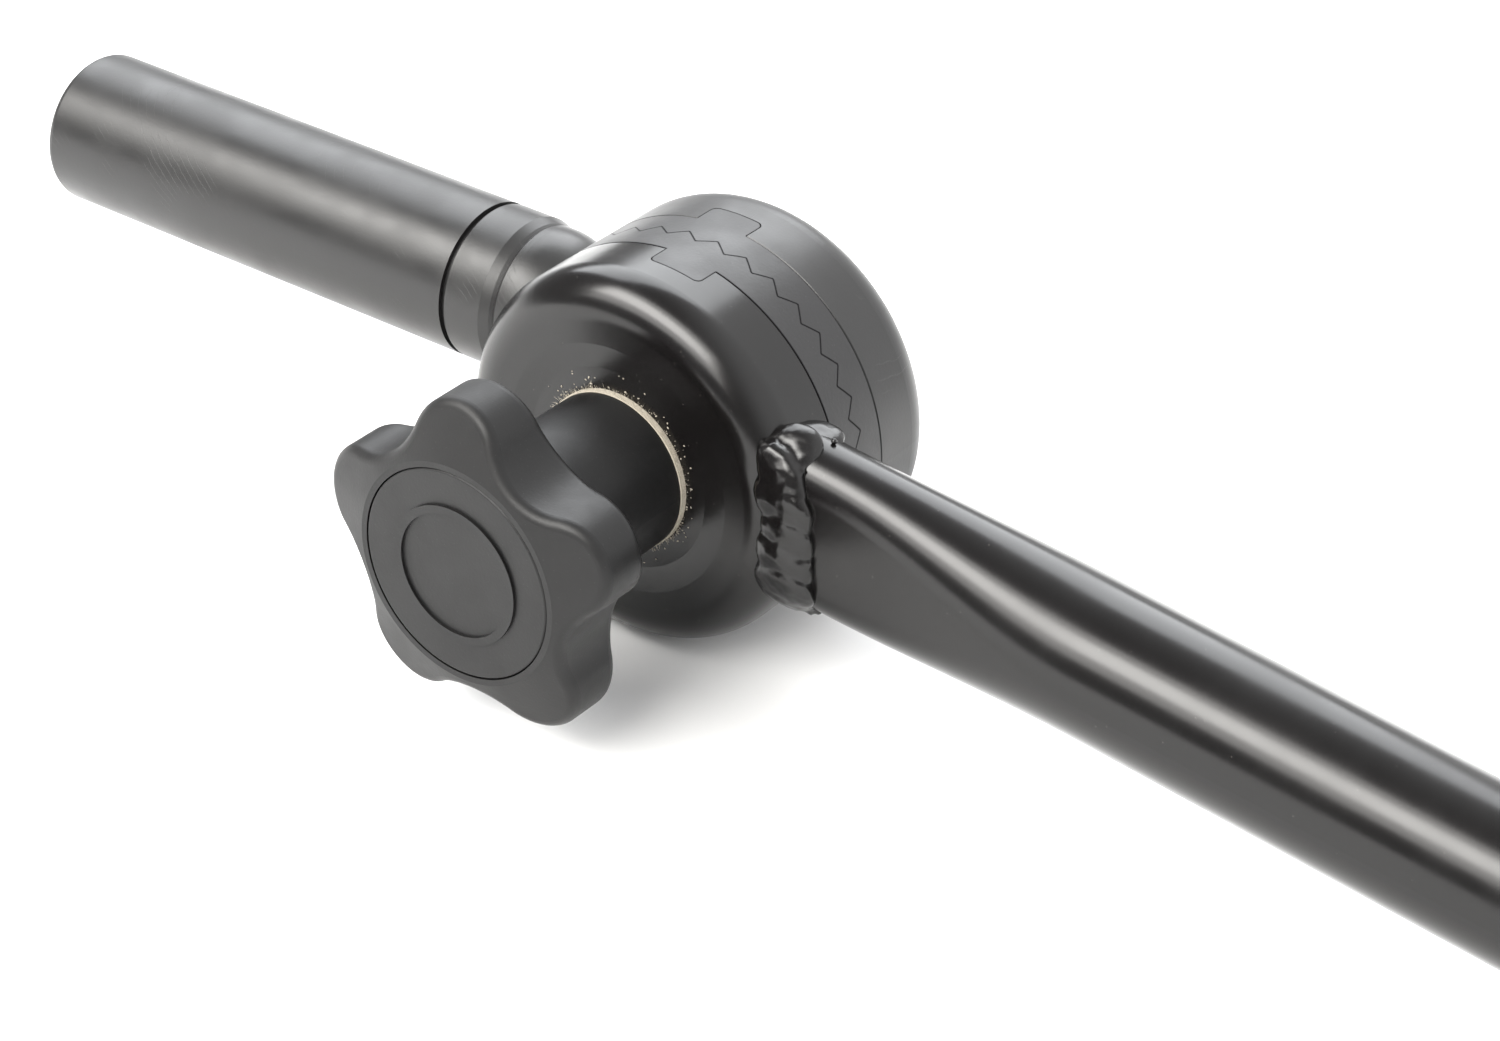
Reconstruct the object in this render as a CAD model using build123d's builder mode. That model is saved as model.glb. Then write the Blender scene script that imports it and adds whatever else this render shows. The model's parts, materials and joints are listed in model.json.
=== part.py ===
"""Grip-arm clutch head: a stand spigot and a tube arm joined by a toothed tilting clutch with a star knob."""

import os
from math import atan2, cos, radians, sin, tan

from build123d import *

# Frame: +X runs from the spigot towards the arm, +Z is up and the knob faces -Y.
# The origin is on the spigot's axis, at its shoulder. All sizes are in millimetres.

# Clutch: its axis runs along Y through this point, and its parting plane is y = clutch_y
clutch_x = 57.3
clutch_y = -14.6
clutch_radius = 33.5
ring_seat = 5.9  # from the parting plane to the seam between a toothed ring and its metal half
seam_chamfer = 0.3
face_height = 22.0  # from the parting plane to the highest part of a metal half's outer face
face_recess = 0.5  # the washer seat sits this far below it
edge_radius = 7.2
recess_radius = 18.0
crest_radius = 22.4
rim_inner_radius = 27.2
web_thickness = 6.0
boss_radius = 12.0
boss_end = 3.0

# Toothed rings
tooth_count = 36
tooth_height = 2.3
mesh_gap = 0.08
tooth_overrun = 2.0  # teeth are cut this much too long before the ring is trimmed to its outer radius
ring_inner_radius = 22.4
ring_lip_height = 2.7
tab_width = 10.0
tab_depth = 4.8
tab_thickness = 4.6
tab_corner = 1.2
tab_clearance = 0.12
tab_angle = 90.0

# Spigot
spigot_radius = 14.3
spigot_length = 97.0
spigot_end_round = 1.6
spigot_stem_radius = 8.0
spigot_end_wall = 6.0
shoulder_groove = 1.2
shoulder_end = 8.9
bar_radius = 13.6
bar_start = 11.9
dome_centre_x = 13.0
spigot_screw_radius = 4.0
spigot_screw_length = 26.0
spigot_screw_head = 8.0
spigot_socket = 5.0
spigot_socket_depth = 3.0
spigot_weld_ring = 8.6
spigot_weld_radius = 3.3
spigot_weld_x = 24.3

# Arm tube
tube_radius = 12.5
tube_wall = 2.0
tube_pitch = 6.6  # degrees below the spigot's line
tube_offset_y = -12.3  # of the tube's axis from the parting plane
tube_offset_z = 4.4  # of the tube's axis above the clutch axis
tube_far_end = 341.0  # from the clutch axis, along the tube
pressed_start = 28.2  # the pressed end is coped to the clutch rim, so it starts inside it
pressed_length = 73.0
pressed_half_width = 8.0
pressed_half_height = 14.8
pressed_shift = -1.5  # along Y, which centres the pressed end on the metal rim
plug_cap_thickness = 3.0
plug_depth = 18.0
weld_start = 30.1
weld_length = 10.7
weld_half_width = 9.6
weld_half_height = 16.6
weld_shift = -3.4
weld_taper = 1.5

# Clamping parts
bolt_radius = 6.0
bolt_square = 12.0
bolt_head_radius = 12.5
bolt_head_height = 5.5
bolt_head_round = 4.5
bolt_neck = 6.5
bolt_end = 55.5
running_clearance = 0.05
bush_radius = 8.5
bush_flange_radius = 11.0
bush_flange_height = 1.5
washer_radius = 14.2
washer_thickness = 1.2
washer_hole_radius = 6.5
stop_washer_radius = 9.0
stop_washer_thickness = 1.5
stop_screw_radius = 3.0
stop_screw_depth = 13.0
stop_head_radius = 5.0
stop_head_height = 2.2
stop_socket = 4.0

# Release spring between the two halves
spring_radius = 15.0
spring_wire = 2.0
spring_turns = 5
spring_end_gap = 0.1

# Knob
hub_radius = 14.0
knob_back = 46.2  # from the parting plane to the back of the lobes, at the hub
knob_front = 62.2
lobe_count = 5
lobe_first_angle = 21.5
lobe_tip_radius = 29.4
lobe_round = 8.8
valley_radius = 21.6
cap_radius = 18.3
cap_thickness = 2.4
cap_gap = 0.15
cap_rim = 1.2
cap_ring_radius = 12.2
cap_ring_width = 1.4
cap_ring_height = 0.5
lobe_back_edge = 50.1
lobe_front_edge = 58.6
lobe_edge_round = 2.0
insert_radius = 9.5
insert_flange_radius = 11.5
insert_flange_height = 3.0
insert_end = 52.0
knob_cavity_radius = 12.2

os.makedirs("parts", exist_ok=True)

clutch_axis = Axis((clutch_x, clutch_y, 0), (0, 1, 0))
clutch_section = Plane(origin=(clutch_x, clutch_y, 0), x_dir=(1, 0, 0), z_dir=(0, 0, 1))
washer_seat = face_height - face_recess
washer_front = washer_seat + washer_thickness
arm_tilt = 180 / tooth_count  # at rest the arm sits half a tooth below the spigot's line


def facing_knob(height):
    """Plane square to the clutch axis, height mm from the parting plane towards the knob, facing the knob."""
    return Plane(origin=(clutch_x, clutch_y - height, 0), x_dir=(1, 0, 0), z_dir=(0, -1, 0))


def tube_plane(distance):
    """Plane square to the arm tube, distance mm along it from the clutch axis; its x is Y and its y is up."""
    pitch = radians(tube_pitch)
    along = Vector(cos(pitch), 0, -sin(pitch))
    up = Vector(sin(pitch), 0, cos(pitch))
    start = Vector(clutch_x, clutch_y + tube_offset_y, 0) + up * tube_offset_z
    return Plane(origin=start + along * distance, x_dir=(0, 1, 0), z_dir=along)


def save(piece, name):
    """Labels a finished piece and writes its STEP file."""
    piece.part.label = name
    export_step(piece.part, f"parts/{name}.step")


def tab_prism(ring_side, angle, clearance):
    """The block of a ring's tab, or of its notch, on the rim at the given angle; ring_side is -1 or 1."""
    turn = radians(angle)
    outward = Vector(cos(turn), 0, sin(turn))
    start = clutch_radius - tab_thickness - clearance
    plane = Plane(
        origin=Vector(clutch_x, clutch_y, 0) + outward * start,
        x_dir=(-sin(turn), 0, cos(turn)),
        z_dir=outward,
    )
    # the plane's y axis runs along -Y
    width = tab_width + 2 * clearance
    depth = tab_depth + 1 + clearance
    with BuildPart() as prism:
        with BuildSketch(plane):
            with Locations((0, -ring_side * (ring_seat - 1 + depth / 2))):
                RectangleRounded(width, depth, tab_corner)
        extrude(amount=tab_thickness + 4)
    return prism


def clutch_half(side, angle):
    """Metal half of the clutch, a thick pressed dish; side is -1 for the knob side and 1 for the far side."""
    with BuildPart() as half:
        with BuildSketch(clutch_section):
            with BuildLine():
                edge_start = (clutch_radius - edge_radius, side * face_height)
                edge_end = (clutch_radius, side * (face_height - edge_radius))
                Polyline(
                    (0, side * washer_seat),
                    (recess_radius, side * washer_seat),
                    (crest_radius, side * face_height),
                    edge_start,
                )
                TangentArc(edge_start, edge_end, tangent=(1, 0))
                Polyline(
                    edge_end,
                    (clutch_radius, side * (ring_seat + seam_chamfer)),
                    (clutch_radius - seam_chamfer, side * ring_seat),
                    (rim_inner_radius, side * ring_seat),
                    (rim_inner_radius, side * (washer_seat - web_thickness)),
                    (boss_radius, side * (washer_seat - web_thickness)),
                    (boss_radius, side * boss_end),
                    (0, side * boss_end),
                    (0, side * washer_seat),
                )
            make_face()
        revolve(axis=clutch_axis)
        notches = [tab_prism(side, angle + turn, tab_clearance).part for turn in (0, 180)]
        add(notches, mode=Mode.SUBTRACT)
    return half


def clutch_blank(side):
    """A clutch half without its hollow and its notches, carried on past the toothed rings, for coping to it."""
    with BuildPart() as blank:
        with BuildSketch(clutch_section):
            with BuildLine():
                edge_start = (clutch_radius - edge_radius, side * face_height)
                edge_end = (clutch_radius, side * (face_height - edge_radius))
                Polyline(edge_end, (clutch_radius, -side * ring_seat), (0, -side * ring_seat))
                Polyline((0, -side * ring_seat), (0, side * face_height), edge_start)
                TangentArc(edge_start, edge_end, tangent=(1, 0))
            make_face()
        revolve(axis=clutch_axis)
    return blank


def toothed_ring(side, angle):
    """Plastic ring with radial teeth that narrow towards the axis; side is -1 for the knob side."""
    half_pitch = radians(180 / tooth_count)
    with BuildPart() as tooth:
        for radius in (clutch_radius + tooth_overrun, ring_inner_radius - tooth_overrun):
            half_width = radius * tan(half_pitch)
            half_height = tooth_height / 2 * radius / clutch_radius
            root = side * (mesh_gap / 2 + half_height)
            tip = side * (mesh_gap / 2 - half_height)
            base = side * (tooth_height / 2 + 1)
            plane = Plane(origin=(radius, 0, 0), x_dir=(0, 0, -1), z_dir=(1, 0, 0))
            with BuildSketch(plane):
                Polygon(
                    (base, -half_width),
                    (root, -half_width),
                    (tip, 0),
                    (root, half_width),
                    (base, half_width),
                    align=None,
                )
        loft(ruled=True)
    with BuildPart(facing_knob(0)) as teeth:
        with PolarLocations(0, tooth_count, start_angle=angle):
            add(tooth.part)
    with BuildPart() as ring:
        add(teeth.part)
        with BuildSketch(clutch_section):
            with BuildLine():
                Polyline(
                    (ring_inner_radius - tooth_overrun, side * (tooth_height / 2 + 0.5)),
                    (clutch_radius + tooth_overrun, side * (tooth_height / 2 + 0.5)),
                    (clutch_radius + tooth_overrun, side * ring_seat),
                    (rim_inner_radius - 0.2, side * ring_seat),
                    (rim_inner_radius - 0.2, side * (ring_seat + ring_lip_height)),
                    (ring_inner_radius - tooth_overrun, side * (ring_seat + ring_lip_height)),
                    close=True,
                )
            make_face()
        revolve(axis=clutch_axis)
        for turn in (0, 180):
            add(tab_prism(side, angle + turn, 0).part)
        with BuildSketch(facing_knob(0)):
            Circle(clutch_radius)
            Circle(ring_inner_radius, mode=Mode.SUBTRACT)
        extrude(amount=face_height, both=True, mode=Mode.INTERSECT)
    return ring


def knob_limits():
    """Solid of revolution that slopes the front and the back of the knob's lobes."""
    with BuildPart() as limits:
        with BuildSketch(clutch_section):
            with BuildLine():
                Polyline(
                    (0, -knob_back),
                    (hub_radius, -knob_back),
                    (lobe_tip_radius + 1, -lobe_back_edge),
                    (lobe_tip_radius + 1, -lobe_front_edge),
                    (cap_radius + cap_rim, -knob_front),
                    (0, -knob_front),
                    close=True,
                )
            make_face()
        revolve(axis=clutch_axis)
    return limits


def lobed_outline():
    """Closed outline of the knob: round lobes joined by hollow arcs that are tangent to them."""
    lobe_centre = lobe_tip_radius - lobe_round
    half_step = radians(180 / lobe_count)
    reach = lobe_centre * cos(half_step)
    hollow = (valley_radius**2 + lobe_centre**2 - 2 * valley_radius * reach - lobe_round**2) / (
        2 * (lobe_round - valley_radius + reach)
    )
    with BuildLine() as outline:
        for lobe in range(lobe_count):
            turn = 2 * lobe * half_step + radians(lobe_first_angle)
            centre = Vector(cos(turn), sin(turn)) * lobe_centre
            before, after = (
                Vector(cos(turn + side * half_step), sin(turn + side * half_step)) for side in (-1, 1)
            )
            joins = [
                centre + (way * (valley_radius + hollow) - centre).normalized() * lobe_round
                for way in (before, after)
            ]
            tip = Vector(cos(turn), sin(turn)) * lobe_tip_radius
            ThreePointArc(joins[0], tip, joins[1])
            next_turn = turn + 2 * half_step
            next_centre = Vector(cos(next_turn), sin(next_turn)) * lobe_centre
            next_join = next_centre + (after * (valley_radius + hollow) - next_centre).normalized() * lobe_round
            ThreePointArc(joins[1], after * valley_radius, next_join)
    return outline.line


def tube_outline(half_width, half_height):
    """Closed outline of a pressed tube, flat at the sides and round above and below, in four edges."""
    straight = half_height - half_width
    with BuildLine() as outline:
        Line((half_width, -straight), (half_width, straight))
        ThreePointArc((half_width, straight), (0, half_height), (-half_width, straight))
        Line((-half_width, straight), (-half_width, -straight))
        ThreePointArc((-half_width, -straight), (0, -half_height), (half_width, -straight))
    return outline.line


def round_outline(radius, corner_angle):
    """Closed circle in four arcs, split at the angles where the pressed outline has its corners."""
    x, y = radius * cos(corner_angle), radius * sin(corner_angle)
    with BuildLine() as outline:
        ThreePointArc((x, -y), (radius, 0), (x, y))
        ThreePointArc((x, y), (0, radius), (-x, y))
        ThreePointArc((-x, y), (-radius, 0), (-x, -y))
        ThreePointArc((-x, -y), (0, -radius), (x, -y))
    return outline.line


def pressed_tube(inset):
    """Solid of the arm tube, round but for its pressed end, inset mm inside the tube's outer surface."""
    straight = pressed_half_height - pressed_half_width
    corner_angle = atan2(straight, pressed_half_width)
    start = tube_plane(pressed_start)
    start.origin += Vector(0, pressed_shift, 0)
    with BuildPart() as tube:
        with BuildSketch(start):
            add(tube_outline(pressed_half_width - inset, pressed_half_height - inset))
            make_face()
        with BuildSketch(tube_plane(pressed_start + pressed_length)):
            add(round_outline(tube_radius - inset, corner_angle))
            make_face()
        loft(ruled=True)
        with BuildSketch(tube_plane(pressed_start + pressed_length)):
            Circle(tube_radius - inset)
        extrude(amount=tube_far_end - plug_cap_thickness - pressed_start - pressed_length)
    return tube


# Rear half, which carries the spigot

rear_half = clutch_half(1, tab_angle)
with BuildPart() as rear_clutch_half:
    add(rear_half.part)
    with BuildSketch(facing_knob(-face_height)):
        Rectangle(bolt_square + 0.2, bolt_square + 0.2)
    extrude(amount=bolt_neck + 1, mode=Mode.SUBTRACT)
    with BuildSketch(facing_knob(-face_height)):
        Circle(bolt_radius + 0.3)
    extrude(amount=face_height, mode=Mode.SUBTRACT)
save(rear_clutch_half, "rear_clutch_half")

rear_blank = clutch_blank(1)
rear_toothed_ring = toothed_ring(1, tab_angle)
save(rear_toothed_ring, "rear_toothed_ring")

with BuildPart() as spigot_core:
    with BuildSketch(Plane.XY):
        with BuildLine():
            Polyline(
                (dome_centre_x, bar_radius),
                (bar_start, bar_radius),
                (bar_start - 0.6, bar_radius - 0.35),
                (bar_start - 1.2, bar_radius),
                (shoulder_end, spigot_radius),
                (shoulder_groove, spigot_radius),
                (shoulder_groove, spigot_radius - 0.9),
                (0, spigot_radius - 0.9),
                (0, spigot_stem_radius),
                (spigot_end_wall - spigot_length, spigot_stem_radius),
                (spigot_end_wall - spigot_length, 0),
                (dome_centre_x + bar_radius, 0),
            )
            CenterArc((dome_centre_x, 0), bar_radius, 0, 90)
        make_face()
    revolve(axis=Axis.X)
    add(rear_blank.part, mode=Mode.SUBTRACT)
    with Locations(Plane(origin=(spigot_end_wall - spigot_length, 0, 0), z_dir=(-1, 0, 0))):
        Hole(spigot_screw_radius, depth=spigot_screw_length - spigot_end_wall + 1)
save(spigot_core, "spigot_core")

with BuildPart() as spigot_sleeve:
    with BuildSketch(Plane.XY):
        with Locations((-spigot_length / 2, spigot_radius / 2)):
            Rectangle(spigot_length, spigot_radius)
    revolve(axis=Axis.X)
    fillet(spigot_sleeve.edges().group_by(Axis.X)[0], spigot_end_round)
    with BuildSketch(Plane.YZ):
        Circle(spigot_stem_radius)
    extrude(amount=spigot_end_wall - spigot_length, mode=Mode.SUBTRACT)
    with Locations(Plane(origin=(-spigot_length, 0, 0), z_dir=(-1, 0, 0))):
        CounterSinkHole(spigot_screw_radius, spigot_screw_head, depth=spigot_end_wall)
save(spigot_sleeve, "spigot_sleeve")

with BuildPart() as spigot_screw:
    with BuildSketch(Plane.XY):
        Polygon(
            (-spigot_length, 0),
            (-spigot_length, spigot_screw_head),
            (-spigot_length + spigot_screw_head - spigot_screw_radius, spigot_screw_radius),
            (-spigot_length + spigot_screw_length, spigot_screw_radius),
            (-spigot_length + spigot_screw_length, 0),
            align=None,
        )
    revolve(axis=Axis.X)
    with BuildSketch(Plane(origin=(-spigot_length, 0, 0), z_dir=(1, 0, 0))):
        RegularPolygon(spigot_socket / 2, 6, major_radius=False)
    extrude(amount=spigot_socket_depth, mode=Mode.SUBTRACT)
save(spigot_screw, "spigot_screw")

with BuildPart() as spigot_weld:
    with BuildSketch(Plane.XY):
        with Locations((spigot_weld_x, spigot_weld_ring)):
            Circle(spigot_weld_radius)
    revolve(axis=Axis.X)
    add(rear_blank.part, mode=Mode.SUBTRACT)
    add(spigot_core.part, mode=Mode.SUBTRACT)
save(spigot_weld, "spigot_weld")

# Arm half, which carries the tube

arm_half = clutch_half(-1, tab_angle - arm_tilt)
with BuildPart() as arm_clutch_half:
    add(arm_half.part)
    with BuildSketch(facing_knob(0)):
        Circle(bush_radius)
    extrude(amount=face_height, mode=Mode.SUBTRACT)
save(arm_clutch_half, "arm_clutch_half")

arm_toothed_ring = toothed_ring(-1, tab_angle - arm_tilt)
save(arm_toothed_ring, "arm_toothed_ring")

arm_blank = clutch_blank(-1)
with BuildPart() as arm_tube:
    add(pressed_tube(0).part)
    add(pressed_tube(tube_wall).part, mode=Mode.SUBTRACT)
    add(arm_blank.part, mode=Mode.SUBTRACT)
save(arm_tube, "arm_tube")

weld_plane = tube_plane(weld_start)
weld_plane.origin += Vector(0, weld_shift, 0)
with BuildPart() as arm_weld:
    with BuildSketch(weld_plane):
        Ellipse(weld_half_width, weld_half_height)
    with BuildSketch(weld_plane.offset(weld_length)):
        Ellipse(weld_half_width - weld_taper, weld_half_height - weld_taper)
    loft(ruled=True)
    add(pressed_tube(0).part, mode=Mode.SUBTRACT)
    add(arm_blank.part, mode=Mode.SUBTRACT)
save(arm_weld, "arm_weld")

with BuildPart() as tube_end_plug:
    with BuildSketch(tube_plane(tube_far_end)):
        Circle(tube_radius)
    extrude(amount=-plug_cap_thickness)
    fillet(tube_end_plug.faces().sort_by(Axis.X)[-1].edges(), 1.2)
    with BuildSketch(tube_plane(tube_far_end - plug_cap_thickness)):
        Circle(tube_radius - tube_wall)
        Circle(tube_radius - tube_wall - 2, mode=Mode.SUBTRACT)
    extrude(amount=-plug_depth)
save(tube_end_plug, "tube_end_plug")

with BuildPart() as pivot_bush:
    with BuildSketch(facing_knob(boss_end)):
        Circle(bush_radius)
    extrude(amount=washer_seat - boss_end)
    with BuildSketch(facing_knob(boss_end)):
        Circle(bush_flange_radius)
    extrude(amount=-bush_flange_height)
    with BuildSketch(facing_knob(0)):
        Circle(bolt_radius + running_clearance)
    extrude(amount=face_height, mode=Mode.SUBTRACT)
save(pivot_bush, "pivot_bush")

# Clamping parts

with BuildPart() as clamp_bolt:
    with BuildSketch(facing_knob(-washer_seat)):
        Circle(bolt_head_radius)
    extrude(amount=-bolt_head_height)
    fillet(clamp_bolt.faces().sort_by(Axis.Y)[-1].edges(), bolt_head_round)
    with BuildSketch(facing_knob(-washer_seat)):
        Rectangle(bolt_square, bolt_square)
    extrude(amount=bolt_neck)
    with BuildSketch(facing_knob(-washer_seat)):
        Circle(bolt_radius)
    extrude(amount=washer_seat + bolt_end)
    with Locations(facing_knob(bolt_end)):
        Hole(stop_screw_radius, depth=stop_screw_depth)
save(clamp_bolt, "clamp_bolt")

with BuildPart() as release_spring:
    spring_height = 2 * (washer_seat - web_thickness - spring_end_gap) - spring_wire
    with BuildLine() as spring_path:
        Helix(
            pitch=spring_height / spring_turns,
            height=spring_height,
            radius=spring_radius,
            center=(clutch_x, clutch_y - spring_height / 2, 0),
            direction=(0, 1, 0),
        )
    with BuildSketch(Plane(origin=spring_path.line @ 0, z_dir=spring_path.line % 0)):
        Circle(spring_wire / 2)
    sweep(is_frenet=True)
save(release_spring, "release_spring")

with BuildPart() as fibre_washer:
    with BuildSketch(facing_knob(washer_seat)):
        Circle(washer_radius)
        Circle(washer_hole_radius, mode=Mode.SUBTRACT)
    extrude(amount=washer_thickness)
save(fibre_washer, "fibre_washer")

with BuildPart() as stop_washer:
    with BuildSketch(facing_knob(bolt_end)):
        Circle(stop_washer_radius)
        Circle(stop_screw_radius, mode=Mode.SUBTRACT)
    extrude(amount=stop_washer_thickness)
save(stop_washer, "stop_washer")

with BuildPart() as stop_screw:
    with BuildSketch(facing_knob(bolt_end + stop_washer_thickness)):
        Circle(stop_head_radius)
    extrude(amount=stop_head_height)
    fillet(stop_screw.faces().sort_by(Axis.Y)[0].edges(), 0.8)
    with BuildSketch(facing_knob(bolt_end + stop_washer_thickness)):
        Circle(stop_screw_radius)
    extrude(amount=-stop_washer_thickness - stop_screw_depth + 1)
    with BuildSketch(facing_knob(bolt_end + stop_washer_thickness + stop_head_height)):
        RegularPolygon(stop_socket / 2, 6, major_radius=False)
    extrude(amount=-stop_head_height + 0.8, mode=Mode.SUBTRACT)
save(stop_screw, "stop_screw")

# Knob

with BuildPart() as knob:
    with BuildSketch(facing_knob(knob_back)):
        add(lobed_outline())
        make_face()
    extrude(amount=knob_front - knob_back)
    add(knob_limits().part, mode=Mode.INTERSECT)
    fillet(knob.edges().filter_by(GeomType.BSPLINE), lobe_edge_round)
    with BuildSketch(facing_knob(washer_front)):
        Circle(hub_radius)
    extrude(amount=knob_back - washer_front + 1)
    with BuildSketch(facing_knob(washer_front)):
        Circle(insert_flange_radius)
    extrude(amount=insert_flange_height, mode=Mode.SUBTRACT)
    with BuildSketch(facing_knob(washer_front)):
        Circle(insert_radius)
    extrude(amount=insert_end - washer_front, mode=Mode.SUBTRACT)
    with BuildSketch(facing_knob(insert_end)):
        Circle(knob_cavity_radius)
    extrude(amount=knob_front - insert_end, mode=Mode.SUBTRACT)
    with BuildSketch(facing_knob(knob_front)):
        Circle(cap_radius + cap_gap)
    extrude(amount=-cap_thickness, mode=Mode.SUBTRACT)
save(knob, "knob")

with BuildPart() as knob_insert:
    with BuildSketch(facing_knob(washer_front)):
        Circle(insert_radius)
    extrude(amount=insert_end - washer_front)
    with BuildSketch(facing_knob(washer_front)):
        Circle(insert_flange_radius)
    extrude(amount=insert_flange_height)
    with BuildSketch(facing_knob(washer_front)):
        Circle(bolt_radius + running_clearance)
    extrude(amount=insert_end - washer_front, mode=Mode.SUBTRACT)
save(knob_insert, "knob_insert")

with BuildPart() as knob_cap:
    with BuildSketch(facing_knob(knob_front - cap_thickness)):
        Circle(cap_radius)
    extrude(amount=cap_thickness)
    fillet(knob_cap.faces().sort_by(Axis.Y)[0].edges(), 0.4)
    with BuildSketch(facing_knob(knob_front)):
        Circle(cap_ring_radius)
        Circle(cap_ring_radius - cap_ring_width, mode=Mode.SUBTRACT)
    extrude(amount=cap_ring_height)
save(knob_cap, "knob_cap")
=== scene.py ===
"""The looks of the grip-arm clutch head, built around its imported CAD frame."""

import json
import random
from math import atan, cos, pi, radians, sin, sqrt, tan, tau

import bmesh
import bpy
from mathutils import Matrix, Vector, noise


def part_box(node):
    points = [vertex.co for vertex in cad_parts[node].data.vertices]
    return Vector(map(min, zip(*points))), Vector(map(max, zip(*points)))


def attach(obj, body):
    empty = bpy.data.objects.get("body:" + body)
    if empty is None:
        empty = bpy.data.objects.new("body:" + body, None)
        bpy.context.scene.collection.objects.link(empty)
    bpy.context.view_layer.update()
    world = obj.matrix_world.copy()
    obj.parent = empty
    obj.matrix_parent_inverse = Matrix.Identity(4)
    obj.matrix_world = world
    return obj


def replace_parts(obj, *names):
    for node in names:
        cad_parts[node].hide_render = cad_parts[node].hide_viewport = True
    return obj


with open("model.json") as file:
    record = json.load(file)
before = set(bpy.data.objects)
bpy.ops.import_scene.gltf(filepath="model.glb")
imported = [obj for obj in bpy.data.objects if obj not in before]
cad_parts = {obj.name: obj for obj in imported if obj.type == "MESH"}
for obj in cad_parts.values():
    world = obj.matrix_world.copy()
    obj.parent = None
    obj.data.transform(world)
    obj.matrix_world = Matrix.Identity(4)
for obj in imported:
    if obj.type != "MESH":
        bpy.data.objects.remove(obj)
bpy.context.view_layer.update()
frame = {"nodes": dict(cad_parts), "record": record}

# Everything is in metres. The clutch's axis runs along Y through (CLUTCH_X, CLUTCH_Z).
clutch_low, clutch_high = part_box("rear_clutch_half")
arm_half_low, arm_half_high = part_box("arm_clutch_half")
CLUTCH_X = (clutch_low[0] + clutch_high[0]) / 2
CLUTCH_Z = (clutch_low[2] + clutch_high[2]) / 2
CLUTCH_RADIUS = (clutch_high[0] - clutch_low[0]) / 2
FACE_Y = arm_half_low[1]
PARTING_Y = (arm_half_low[1] + clutch_high[1]) / 2
MM = 0.001


# Materials


def new_material(name, base, roughness, specular=0.5):
    """An empty procedural material: (material, node tree, its shader)."""
    material = bpy.data.materials.new(name)
    material.use_nodes = True
    tree = material.node_tree
    shader = tree.nodes["Principled BSDF"]
    shader.inputs["Base Color"].default_value = (*base, 1)
    shader.inputs["Roughness"].default_value = roughness
    shader.inputs["Specular IOR Level"].default_value = specular
    return material, tree, shader


def add_node(tree, kind, values=None, links=None, **settings):
    """Adds a node, sets its properties, its sockets' values and what they are linked to."""
    node = tree.nodes.new(kind)
    for name, value in settings.items():
        setattr(node, name, value)
    for socket, value in (values or {}).items():
        node.inputs[socket].default_value = value
    for socket, output in (links or {}).items():
        tree.links.new(output, node.inputs[socket])
    return node


def place(tree, stretch=(1, 1, 1)):
    """Coordinates that stay on the piece as it moves, in metres, stretched along an axis if asked."""
    where = add_node(tree, "ShaderNodeTexCoord")
    scaled = add_node(tree, "ShaderNodeMapping", {"Scale": stretch}, {"Vector": where.outputs["Object"]})
    return scaled.outputs["Vector"]


def feed(tree, shader, socket, output):
    """Links an output to one of the shader's sockets."""
    tree.links.new(output, shader.inputs[socket])


def scaled(colour, factor):
    return tuple(factor * channel for channel in colour)


def grain(tree, where, size, detail=3.0, roughness=0.55):
    """Noise whose blobs are about size metres across, from 0 to 1."""
    values = {"Scale": 1 / size, "Detail": detail, "Roughness": roughness}
    return add_node(tree, "ShaderNodeTexNoise", values, {"Vector": where}).outputs["Fac"]


def ramp(tree, factor, low, high, from_value, to_value):
    """Maps factor between low and high smoothly to from_value and to_value."""
    node = add_node(
        tree,
        "ShaderNodeMapRange",
        {"From Min": low, "From Max": high, "To Min": from_value, "To Max": to_value},
        {"Value": factor},
        interpolation_type="SMOOTHSTEP",
    )
    return node.outputs["Result"]


def blend_colours(tree, factor, first, second):
    """Mixes two colours, each given as a tuple or as a socket."""
    node = add_node(tree, "ShaderNodeMix", data_type="RGBA")
    tree.links.new(factor, node.inputs[0])
    for socket, colour in ((node.inputs[6], first), (node.inputs[7], second)):
        if isinstance(colour, tuple):
            socket.default_value = (*colour, 1)
        else:
            tree.links.new(colour, socket)
    return node.outputs[2]


def join(tree, operation, first, second):
    """A sum, product or other maths of two sockets, or of a socket and a number."""
    node = add_node(tree, "ShaderNodeMath", operation=operation)
    for socket, value in zip(node.inputs, (first, second)):
        if isinstance(value, (int, float)):
            socket.default_value = value
        else:
            tree.links.new(value, socket)
    return node.outputs[0]


def specks(tree, where, size, share):
    """Separate specks, one in each cell of about size metres: 1 on a speck, 0 beyond share of the cell."""
    values = {"Scale": 1 / size, "Randomness": 1.0}
    texture = add_node(tree, "ShaderNodeTexVoronoi", values, {"Vector": where})
    return ramp(tree, texture.outputs["Distance"], share * 0.6, share, 1.0, 0.0)


def scratches(tree):
    """A few fine, nearly straight scratches in patches, 1 on a scratch and 0 off it."""
    turned = add_node(tree, "ShaderNodeMapping", {"Rotation": (0.6, 0.9, 0.4)}, {"Vector": place(tree)})
    waves = {"Scale": 260.0, "Distortion": 1.6, "Detail": 2.0, "Detail Scale": 1.5}
    lines = add_node(tree, "ShaderNodeTexWave", waves, {"Vector": turned.outputs["Vector"]})
    thin = ramp(tree, lines.outputs["Fac"], 0.985, 0.998, 0.0, 1.0)
    patch = ramp(tree, grain(tree, place(tree), 0.014, 2.0), 0.56, 0.64, 0.0, 1.0)
    return join(tree, "MULTIPLY", thin, patch)


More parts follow.
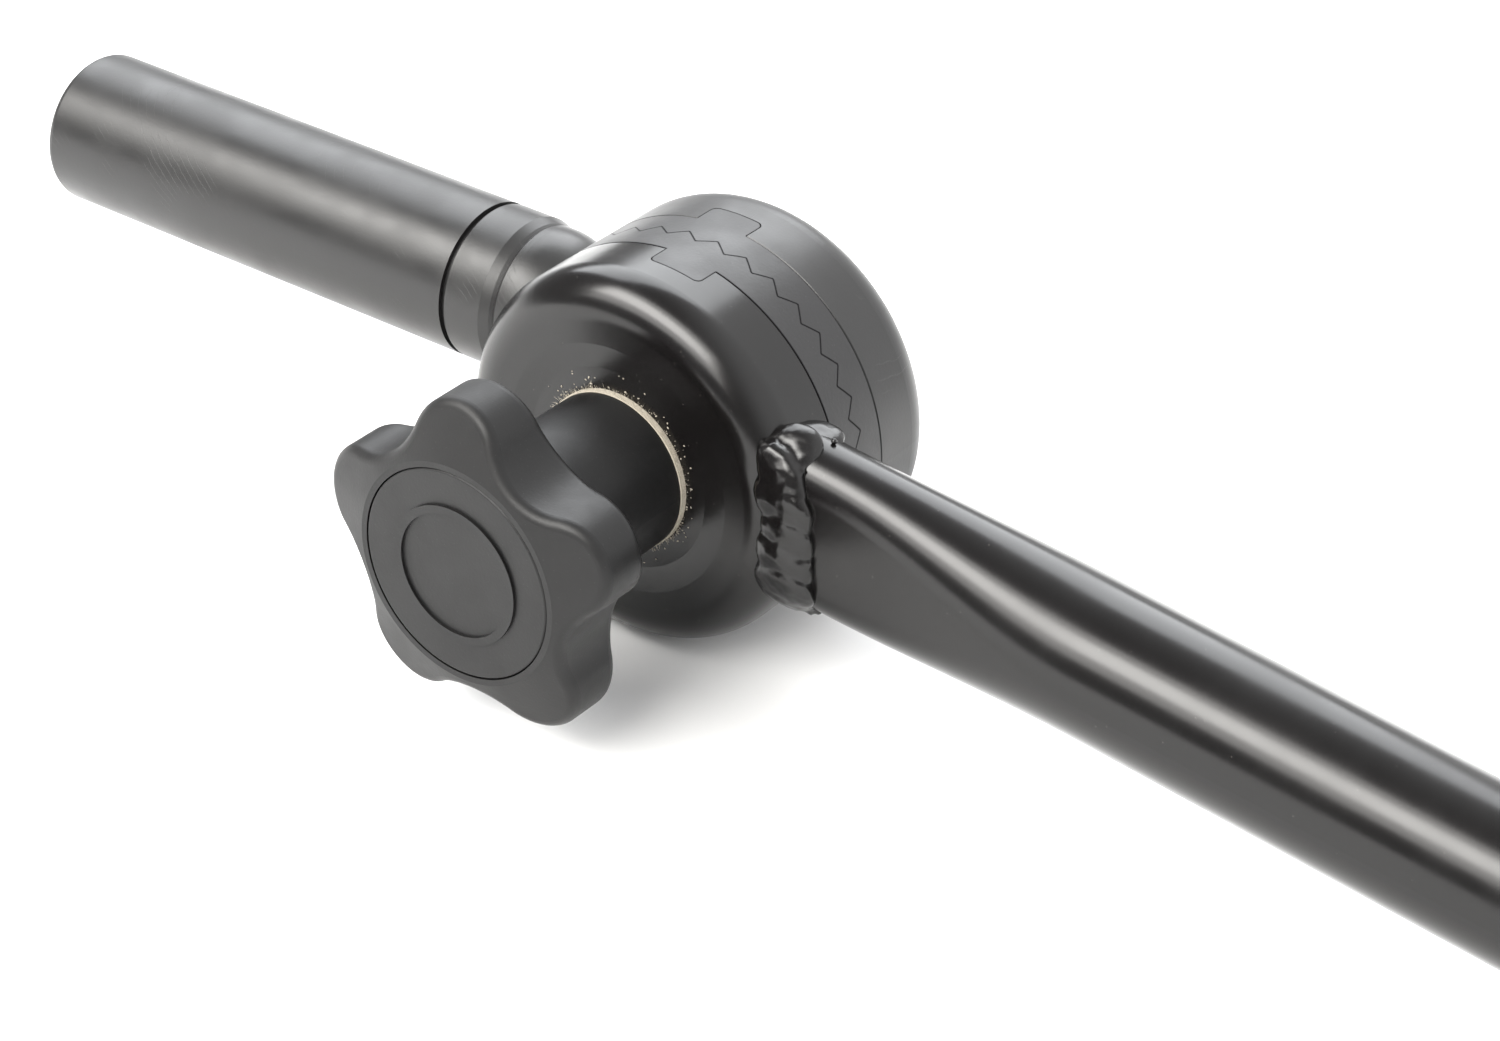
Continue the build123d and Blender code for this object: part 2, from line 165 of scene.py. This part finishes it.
def emboss(tree, shader, height, depth):
    """Bumps the surface by height (0 to 1) times depth metres."""
    bump = add_node(tree, "ShaderNodeBump", {"Strength": 1.0, "Distance": depth}, {"Height": height})
    tree.links.new(bump.outputs["Normal"], shader.inputs["Normal"])


def gloss_paint():
    """Glossy black paint with orange peel and a few specks of dust."""
    black = (0.004, 0.0036, 0.0036)
    dusty = (0.06, 0.056, 0.052)
    material, tree, shader = new_material("gloss_paint", black, 0.2, 0.4)
    where = place(tree)
    peel = grain(tree, where, 0.0025, 2.0)
    smudge = grain(tree, where, 0.02, 4.0)
    dust = specks(tree, where, 0.0022, 0.05)
    feed(tree, shader, "Roughness", ramp(tree, smudge, 0.35, 0.75, 0.19, 0.26))
    feed(tree, shader, "Base Color", blend_colours(tree, dust, black, dusty))
    emboss(tree, shader, peel, 0.000006)
    return material


def satin_paint():
    """Satin black paint: a fine grain, uneven sheen and a few rubbed spots."""
    material, tree, shader = new_material("satin_paint", (0.01, 0.0098, 0.01), 0.36)
    where = place(tree)
    tooth = grain(tree, where, 0.0005, 2.0)
    cloud = grain(tree, where, 0.012, 5.0)
    scratch = scratches(tree)
    feed(tree, shader, "Roughness", ramp(tree, cloud, 0.3, 0.7, 0.32, 0.42))
    worn = blend_colours(tree, cloud, (0.008, 0.0078, 0.008), (0.013, 0.0125, 0.0125))
    feed(tree, shader, "Base Color", blend_colours(tree, scratch, worn, (0.018, 0.0175, 0.017)))
    emboss(tree, shader, join(tree, "SUBTRACT", tooth, scratch), 0.000012)
    return material


def near_edge(tree, width):
    """1 away from a piece's sharp edges and lower within about width of them."""
    inward = {"inside": True, "only_local": True, "samples": 8}
    return add_node(tree, "ShaderNodeAmbientOcclusion", {"Distance": width}, **inward).outputs["AO"]


def moulded_plastic(name, base, roughness, tooth_size, tooth_depth, specular=0.5, seam_shade_width=0.0):
    """Matt moulded plastic with some dust. The last argument is the width of a strip of painted shade along
    its sharp edges and seams, where the reflection is dulled; 0 leaves it out.
    """
    material, tree, shader = new_material(name, base, roughness, specular)
    where = place(tree)
    tooth = grain(tree, where, tooth_size, 3.0)
    cloud = grain(tree, where, 0.01, 4.0)
    dust = specks(tree, where, 0.0011, 0.12)
    clean = blend_colours(tree, cloud, scaled(base, 0.85), scaled(base, 1.2))
    feed(tree, shader, "Base Color", blend_colours(tree, dust, clean, scaled(base, 2.2)))
    feed(tree, shader, "Roughness", ramp(tree, cloud, 0.3, 0.7, roughness - 0.05, roughness + 0.06))
    emboss(tree, shader, tooth, tooth_depth)
    # Painted shade: the reflection is dulled in a strip along sharp edges and seams, standing in for shade
    # in the gaps between parts.
    if seam_shade_width:
        painted_seam_shade = ramp(tree, near_edge(tree, seam_shade_width), 0.55, 0.95, 0.02, specular)
        feed(tree, shader, "Specular IOR Level", painted_seam_shade)
    return material


def fibre():
    """Pressed natural fibre, beige, with short strands."""
    material, tree, shader = new_material("fibre", (0.45, 0.4, 0.32), 0.9, 0.2)
    where = place(tree, (1, 4, 1))
    strands = grain(tree, where, 0.0006, 5.0, 0.7)
    feed(tree, shader, "Base Color", blend_colours(tree, strands, (0.2, 0.17, 0.13), (0.62, 0.57, 0.48)))
    emboss(tree, shader, strands, 0.00015)
    return material


def steel(name, base, roughness):
    """Plated steel with fine turning marks and a slightly uneven plating."""
    material, tree, shader = new_material(name, base, roughness)
    shader.inputs["Metallic"].default_value = 1.0
    where = place(tree)
    cloud = grain(tree, where, 0.004, 4.0)
    marks = grain(tree, place(tree, (1, 12, 1)), 0.0012, 3.0)
    feed(tree, shader, "Roughness", ramp(tree, cloud, 0.3, 0.7, roughness - 0.06, roughness + 0.1))
    feed(tree, shader, "Base Color", blend_colours(tree, cloud, base, scaled(base, 0.75)))
    emboss(tree, shader, marks, 0.000015)
    return material


RING_BLACK = (0.009, 0.0086, 0.0093)
KNOB_BLACK = (0.006, 0.0058, 0.006)
TOOTH_DEPTH = 0.00002

MATERIALS = {
    "gloss_paint": gloss_paint(),
    "satin_paint": satin_paint(),
    # The ring plastic gets a 0.3 mm strip of painted shade along its sharp edges and seams.
    "ring_plastic": moulded_plastic("ring_plastic", RING_BLACK, 0.4, 0.0006, TOOTH_DEPTH, seam_shade_width=0.0003),
    "knob_plastic": moulded_plastic("knob_plastic", KNOB_BLACK, 0.46, 0.0005, TOOTH_DEPTH, specular=0.31),
    "bush_plastic": moulded_plastic("bush_plastic", (0.55, 0.53, 0.48), 0.4, 0.0008, TOOTH_DEPTH),
    "plug_plastic": moulded_plastic("plug_plastic", (0.015, 0.015, 0.015), 0.45, 0.0006, TOOTH_DEPTH),
    "fibre": fibre(),
    "zinc_steel": steel("zinc_steel", (0.4, 0.39, 0.37), 0.3),
    "spring_steel": steel("spring_steel", (0.35, 0.34, 0.33), 0.3),
}


def paint_nodes():
    """Gives every CAD node the material of its slot in the record."""
    for part in frame["record"]["subparts"]:
        node = frame["nodes"][part["node"]]
        for material_slot in node.material_slots:
            material_slot.material = MATERIALS[part["material_slot"]]


# Pieces modelled here in place of CAD nodes, and the ones that only a close look shows

arm_mount = next(mount for mount in frame["record"]["mounts"] if mount["name"] == "arm_tube")
TUBE_AXIS = Vector(arm_mount["axis"]).normalized()
TUBE_UP = Vector((-TUBE_AXIS.z, 0, TUBE_AXIS.x))
TUBE_RADIUS = arm_mount["dims"]["r_mm"] * MM
TUBE_WALL = 2.0 * MM
mount_point = Vector(arm_mount["pos_m"])
clutch_centre = Vector((CLUTCH_X, mount_point.y, CLUTCH_Z))
TUBE_START = mount_point - TUBE_AXIS * (mount_point - clutch_centre).dot(TUBE_AXIS)

# The pressed end of the tube is a stadium, and it turns round between PRESS_END and ROUND_START, which are
# measured from the clutch's axis. The tube's mesh starts inside the rim of the near clutch half.
PRESSED_RADIUS = 6.8 * MM
PRESSED_STRAIGHT = 8.0 * MM
PRESSED_SHIFT = -2.2 * MM
PRESS_END = 38.0 * MM
ROUND_START = 90.0 * MM
RIM_FILLET = 7.2 * MM
HIDDEN_START = 30.0 * MM
HARD_EDGE = 40


def add_piece(name, mesh, body, slot, sharp_angle=None):
    """Puts a finished mesh into the scene on a body, with a slot and its material."""
    for polygon in mesh.polygons:
        polygon.use_smooth = True
    if sharp_angle:
        mesh.set_sharp_from_angle(angle=radians(sharp_angle))
    piece = bpy.data.objects.new(name, mesh)
    bpy.context.scene.collection.objects.link(piece)
    mesh.materials.clear()
    mesh.materials.append(MATERIALS[slot])
    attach(piece, body)
    return piece


def mesh_from(name, shape):
    """Turns a bmesh into a mesh and frees it."""
    mesh = bpy.data.meshes.new(name)
    bmesh.ops.recalc_face_normals(shape, faces=shape.faces)
    shape.to_mesh(mesh)
    shape.free()
    return mesh


def tube_outline(distance, inset=0.0, count=48):
    """Outline of the arm's tube at a distance from the clutch's axis: (point, outward direction) pairs."""
    share = min(max((distance - PRESS_END) / (ROUND_START - PRESS_END), 0), 1)
    share = share * share * (3 - 2 * share)
    radius = PRESSED_RADIUS + (TUBE_RADIUS - PRESSED_RADIUS) * share - inset
    straight = PRESSED_STRAIGHT * (1 - share)
    middle = TUBE_START + TUBE_AXIS * distance + Vector((0, PRESSED_SHIFT * (1 - share), 0))
    outline = []
    for side in (1, -1):
        for step in range(count):
            angle = pi * step / (count - 1)
            outward = side * (sin(angle) * TUBE_UP + cos(angle) * Vector((0, 1, 0)))
            outline.append((middle + side * straight * TUBE_UP + radius * outward, outward))
    return outline


def add_tube():
    """Arm tube, a closed shell: along the outside to the far end, and back along the inside."""
    tube_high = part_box("arm_tube")[1]
    end = (tube_high[0] - TUBE_START.x - TUBE_RADIUS * TUBE_UP.x) / TUBE_AXIS.x
    steps = 90
    distances = [HIDDEN_START + (end - HIDDEN_START) * step / steps for step in range(steps + 1)]
    loops = [tube_outline(distance) for distance in distances]
    loops += [tube_outline(distance, TUBE_WALL) for distance in reversed(distances)]
    shape = bmesh.new()
    rings = [[shape.verts.new(point) for point, outward in loop] for loop in loops]
    for ring, following in zip(rings, rings[1:] + rings[:1]):
        for a, b, c, d in zip(ring, ring[1:] + ring[:1], following[1:] + following[:1], following):
            shape.faces.new((a, b, c, d))
    tube = add_piece("tube", mesh_from("tube", shape), "arm_side", "gloss_paint", HARD_EDGE)
    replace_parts(tube, "arm_tube")


def meeting_line(count):
    """Where the tube runs into the near clutch half's rim, as steps: (point, outward, along the line)."""
    shallowest = 2.5 * MM
    line = []
    for point, outward in tube_outline(PRESS_END):
        depth = min(max(point.y - FACE_Y, shallowest), RIM_FILLET)
        reach = CLUTCH_RADIUS - RIM_FILLET + sqrt(RIM_FILLET**2 - (RIM_FILLET - depth) ** 2)
        height = (point - clutch_centre).dot(TUBE_UP)
        distance = sqrt(reach**2 - height**2)
        line.append((point + TUBE_AXIS * (distance - PRESS_END), outward))
    return spread(line, count)


def spread(line, count):
    """Even steps along a closed line of (point, outward) pairs: (point, outward, along the line)."""
    ends = line[1:] + line[:1]
    lengths = [(after[0] - before[0]).length for before, after in zip(line, ends)]
    total = sum(lengths)
    steps = []
    for step in range(count):
        left = total * step / count
        index = 0
        while left > lengths[index]:
            left -= lengths[index]
            index += 1
        (point, outward), (next_point, next_outward) = line[index], ends[index]
        share = left / lengths[index] if lengths[index] else 0
        towards = (line[(index + 3) % len(line)][0] - line[index - 2][0]).normalized()
        facing = outward.lerp(next_outward, share).normalized()
        steps.append((point.lerp(next_point, share), facing, towards))
    return steps


def add_ball(shape, subdivisions, radius, matrix):
    made = bmesh.ops.create_icosphere(shape, subdivisions=subdivisions, radius=radius, matrix=matrix)
    return made["verts"]


def add_bead(name, steps, across, size, offset, thinning, body, slot, node, seed):
    """
    Weld bead of overlapping puddles that lean over each other like shingles.

    across is the direction over the bead; size is a puddle's half (across, out, along); offset moves the
    bead's middle across from the steps, and out from them where they face up or down. thinning is how much
    thinner the bead gets towards +Y.
    """
    chance = random.Random(seed)
    shape = bmesh.new()
    for point, outward, towards in steps:
        grown = [half * chance.uniform(0.88, 1.12) for half in size]
        grown[1] *= 1 - thinning * (1 + outward.y)
        middle = point + across * offset[0] * chance.uniform(0.85, 1.15)
        middle += outward * offset[1] * (1 + outward.y)
        lean = Matrix.Rotation(radians(chance.uniform(4, 13)), 3, across)
        axes = Matrix((across, lean @ outward, lean @ towards)).transposed().to_4x4()
        sized = Matrix.Diagonal((*grown, 1))
        add_ball(shape, 4, 1, Matrix.Translation(middle) @ axes @ sized)
        for crumb in range(5):
            side = chance.choice((-1.0, -0.9, 0.9, 1.0))
            spot = middle + across * side * size[0] * 0.93 + towards * chance.uniform(-1, 1) * size[2]
            spot += outward * chance.uniform(-0.5, 0.3) * size[1]
            add_ball(shape, 2, chance.uniform(0.35, 0.8) * MM, Matrix.Translation(spot))
    rough = bpy.data.objects.new(name, mesh_from(name, shape))
    bpy.context.scene.collection.objects.link(rough)
    remesh = rough.modifiers.new("fuse", "REMESH")
    remesh.mode = "VOXEL"
    remesh.voxel_size = 0.36 * MM
    soften = rough.modifiers.new("soften", "SMOOTH")
    soften.factor = 0.5
    soften.iterations = 8
    evaluated = rough.evaluated_get(bpy.context.evaluated_depsgraph_get())
    mesh = bpy.data.meshes.new_from_object(evaluated)
    bpy.data.objects.remove(rough)
    mesh.name = name
    for vertex in mesh.vertices:
        lumps = noise.noise(vertex.co / (2.2 * MM)) * 0.16 * MM
        ripples = noise.noise(vertex.co / (0.8 * MM)) * 0.04 * MM
        vertex.co += vertex.normal * (lumps + ripples)
    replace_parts(add_piece(name, mesh, body, slot), node)


def add_arm_bead():
    """Weld that joins the arm tube to the near clutch half."""
    size = (5.5 * MM, 2.4 * MM, 5.4 * MM)
    offset = (3.4 * MM, -1.2 * MM)
    steps = meeting_line(15)
    add_bead("arm_bead", steps, TUBE_AXIS, size, offset, 0.33, "arm_side", "gloss_paint", "arm_weld", 11)


def add_spigot_bead():
    """Weld that joins the spigot's bar to the rear clutch half."""
    low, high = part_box("spigot_weld")
    middle = Vector(((low[0] + high[0]) / 2, (low[1] + high[1]) / 2, (low[2] + high[2]) / 2))
    ring = (high[2] - low[2]) / 2 - 2.8 * MM
    corners = 96
    circle = []
    for step in range(corners):
        outward = Vector((0, cos(tau * step / corners), sin(tau * step / corners)))
        circle.append((middle + ring * outward, outward))
    size = (3.1 * MM, 2.6 * MM, 2.8 * MM)
    steps = spread(circle, 15)
    along = Vector((1, 0, 0))
    add_bead("spigot_bead", steps, along, size, (0, 0), 0, "spigot_side", "satin_paint", "spigot_weld", 5)


def add_fibre(shape, start, heading, bend, length, radius):
    """One short curved fibre, three-sided and closed at both ends."""
    side = heading.orthogonal().normalized()
    other = heading.cross(side)
    rings = []
    for step in range(5):
        share = step / 4
        middle = start + heading * length * share + bend * length * share * share
        width = radius * (1 - 0.5 * share)
        spokes = [cos(angle) * side + sin(angle) * other for angle in (0, tau / 3, 2 * tau / 3)]
        rings.append([shape.verts.new(middle + width * spoke) for spoke in spokes])
    for ring, following in zip(rings, rings[1:]):
        for corner in range(3):
            after = (corner + 1) % 3
            shape.faces.new((ring[corner], ring[after], following[after], following[corner]))
    shape.faces.new(rings[0])
    shape.faces.new(rings[-1])


def add_fuzz():
    """Loose fibres round the washer's edge."""
    low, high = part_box("fibre_washer")
    edge = (high[0] - low[0]) / 2
    inset = 0.1 * MM
    chance = random.Random(3)
    shape = bmesh.new()
    for strand in range(520):
        angle = chance.uniform(0, tau)
        outward = Vector((cos(angle), 0, sin(angle)))
        start = Vector((CLUTCH_X, chance.uniform(low[1] + inset, high[1] - inset), CLUTCH_Z))
        start += outward * (edge - inset)
        wander = Vector((chance.uniform(-1, 1), chance.uniform(-0.5, 0.2), chance.uniform(-1, 1)))
        heading = (outward + 0.5 * wander).normalized()
        bend = 0.5 * Vector((chance.uniform(-1, 1), chance.uniform(-0.4, 0.1), chance.uniform(-1, 1)))
        length = chance.uniform(0.3, 1.1) * MM
        add_fibre(shape, start, heading, bend, length, chance.uniform(0.025, 0.05) * MM)
    add_piece("washer_fuzz", mesh_from("washer_fuzz", shape), "pressure_washer", "fibre")
    add_flecks(chance, edge, high[1])


def add_flecks(chance, edge, seat):
    """Flecks of the washer's dust on the face it sits on, thinning out away from its edge."""
    clear = 0.2 * MM
    furthest = 3.2
    shape = bmesh.new()
    for fleck in range(130):
        angle = chance.uniform(0, tau)
        reach = edge + min(chance.expovariate(1.1), furthest) * MM + clear
        size = chance.uniform(0.05, 0.15) * MM
        spot = Vector((CLUTCH_X + reach * cos(angle), seat - 0.3 * size, CLUTCH_Z + reach * sin(angle)))
        turn = Matrix.Rotation(chance.uniform(0, tau), 4, "Y")
        sized = Matrix.Diagonal((chance.uniform(0.8, 2.2) * size, 0.6 * size, size, 1))
        for vertex in add_ball(shape, 1, 1, Matrix.Translation(spot) @ turn @ sized):
            vertex.co += Vector((chance.uniform(-1, 1), 0, chance.uniform(-1, 1))) * 0.2 * size
    add_piece("fibre_flecks", mesh_from("fibre_flecks", shape), "arm_side", "fibre")


# Camera, floor and lights


def add_camera():
    """Camera at the photograph's viewing angle."""
    data = bpy.data.cameras.new("camera")
    camera = bpy.data.objects.new("camera", data)
    bpy.context.scene.collection.objects.link(camera)
    data.sensor_width = 36
    data.lens = 90.92
    data.clip_end = 20
    position = Vector((0.38588, -0.44955, 0.32543))
    heading = Vector((-0.4974, 0.6821, -0.5361))
    roll = radians(1.256)
    turn = heading.to_track_quat("-Z", "Y").to_matrix().to_4x4() @ Matrix.Rotation(roll, 4, "Z")
    camera.matrix_world = Matrix.Translation(position) @ turn
    bpy.context.scene.camera = camera


def add_floor():
    """Pale floor that the clutch's rim and the arm's far end rest on."""
    tube_low, tube_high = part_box("tube_end_plug")
    drop = tube_low[2] + CLUTCH_RADIUS
    slope = atan(drop / (tube_high[0] - CLUTCH_X))
    size = 3.0
    gap = 0.4 * MM
    mesh = bpy.data.meshes.new("floor")
    corners = [(-size, -size, 0), (size, -size, 0), (size, size, 0), (-size, size, 0)]
    mesh.from_pydata(corners, [], [(0, 1, 2, 3)])
    floor = bpy.data.objects.new("floor", mesh)
    bpy.context.scene.collection.objects.link(floor)
    tilt = Matrix.Rotation(-slope, 4, "Y")
    floor.matrix_world = Matrix.Translation((CLUTCH_X, PARTING_Y, -CLUTCH_RADIUS - gap)) @ tilt
    material, tree, shader = new_material("floor", (0.85, 0.85, 0.85), 0.8, 0.1)
    mesh.materials.append(material)


def add_softbox(name, azimuth, elevation, half_width, half_height, radiance, colour):
    """Soft light that faces the clutch. Angles are in degrees seen from there; azimuth 0 is +X, 90 is +Y."""
    distance = 2.0
    width = 2 * distance * tan(radians(half_width))
    height = 2 * distance * tan(radians(half_height))
    data = bpy.data.lights.new(name, "AREA")
    data.shape = "RECTANGLE"
    data.size, data.size_y = width, height
    data.energy = radiance * pi * width * height
    data.color = colour
    light = bpy.data.objects.new(name, data)
    bpy.context.scene.collection.objects.link(light)
    azimuth, elevation = radians(azimuth), radians(elevation)
    direction = Vector((cos(azimuth) * cos(elevation), sin(azimuth) * cos(elevation), sin(elevation)))
    target = Vector((CLUTCH_X, PARTING_Y, 0))
    turn = direction.to_track_quat("Z", "Y").to_matrix().to_4x4()
    light.matrix_world = Matrix.Translation(target + direction * distance) @ turn


def add_room():
    """Dim studio room: darkest towards the front left, brighter towards the back right."""
    world = bpy.data.worlds.new("studio")
    world.use_nodes = True
    tree = world.node_tree
    direction = add_node(tree, "ShaderNodeTexCoord").outputs["Generated"]
    brightest = {1: (0.75, 0.66, 0.25)}
    towards = add_node(tree, "ShaderNodeVectorMath", brightest, {0: direction}, operation="DOT_PRODUCT")
    glow = ramp(tree, towards.outputs["Value"], -0.1, 0.9, 0.35, 1.9)
    tree.links.new(glow, tree.nodes["Background"].inputs["Strength"])
    tree.nodes["Background"].inputs["Color"].default_value = (1, 1, 1, 1)
    bpy.context.scene.world = world


def add_studio():
    """Warm soft light from the front with a hotter middle, and a cool one from the back left."""
    warm = (1.0, 0.985, 0.95)
    cool = (0.95, 0.975, 1.0)
    add_room()
    bpy.context.scene.view_settings.view_transform = "Standard"
    add_softbox("front_box", -108, 44, 33, 20, 6.0, warm)
    add_softbox("front_core", -112, 46, 30, 9, 12.0, warm)
    add_softbox("back_box", 131, 41, 28, 20, 6.0, cool)


paint_nodes()
add_tube()
add_arm_bead()
add_spigot_bead()
add_fuzz()
add_camera()
add_floor()
add_studio()
